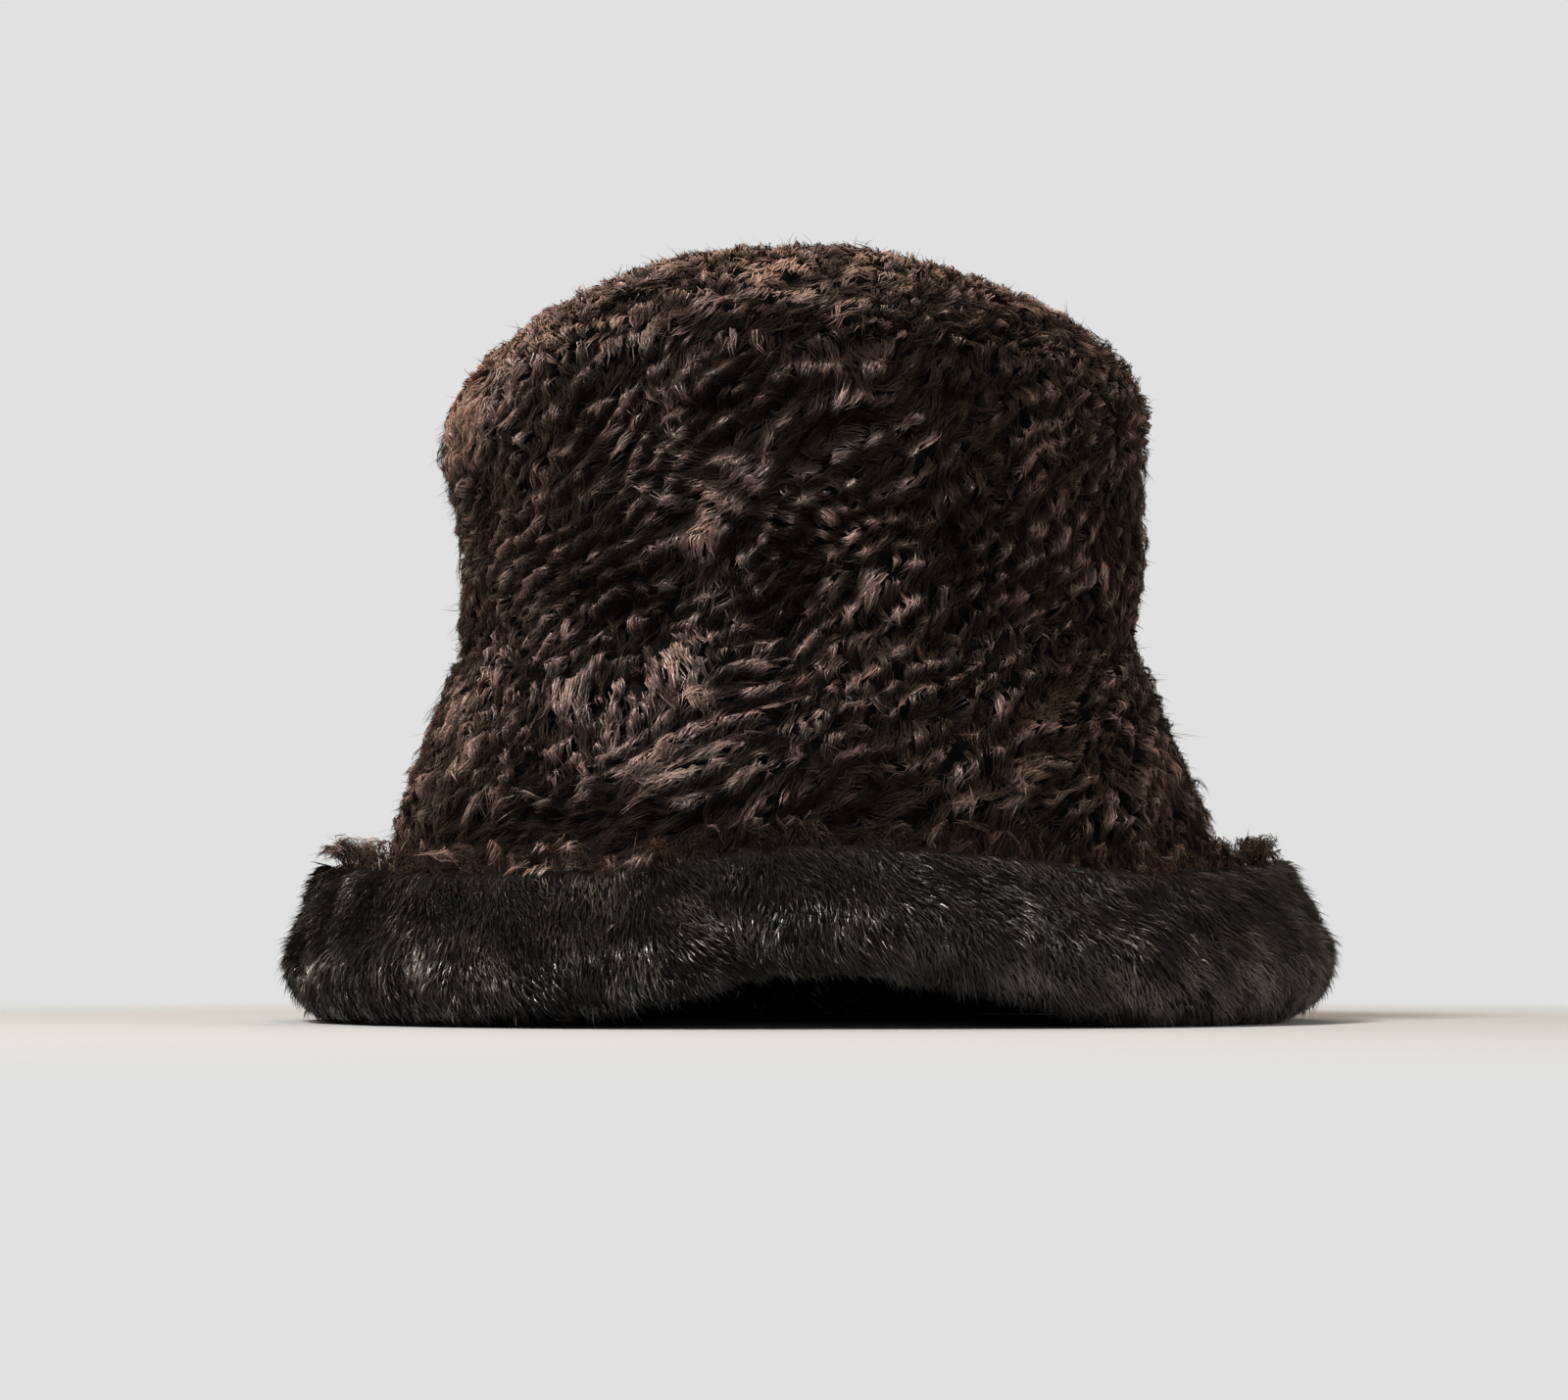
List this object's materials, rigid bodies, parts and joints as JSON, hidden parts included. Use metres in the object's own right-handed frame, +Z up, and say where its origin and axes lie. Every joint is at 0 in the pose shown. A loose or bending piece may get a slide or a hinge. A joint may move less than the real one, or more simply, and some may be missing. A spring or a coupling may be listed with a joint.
{
  "type": "faux fur bucket hat",
  "caption": "Deep bucket hat in curly fake fur with a domed crown and a flared brim, its sleek fur facing turned up across the front.",
  "frame": {"origin": "middle of the hat's outline on the plane it rests on", "axes": "+Z up through the crown, -Y to the turned-up front, +X to the wearer's left"},
  "size_m": [0.3106, 0.3338, 0.2305],
  "materials": {
    "curly_fur": "dark brown curly fake fur in loose locks, with pinkish brown sheen on the locks",
    "sleek_fur": "sleek short fake fur, nearly black, combed towards the fold, with fine silvery glints"
  },
  "bodies": {
    "root": {"crown_tip": "curly_fur", "crown_side": "curly_fur", "brim_outer": "curly_fur", "brim_facing": "sleek_fur"}
  },
  "joints": []
}
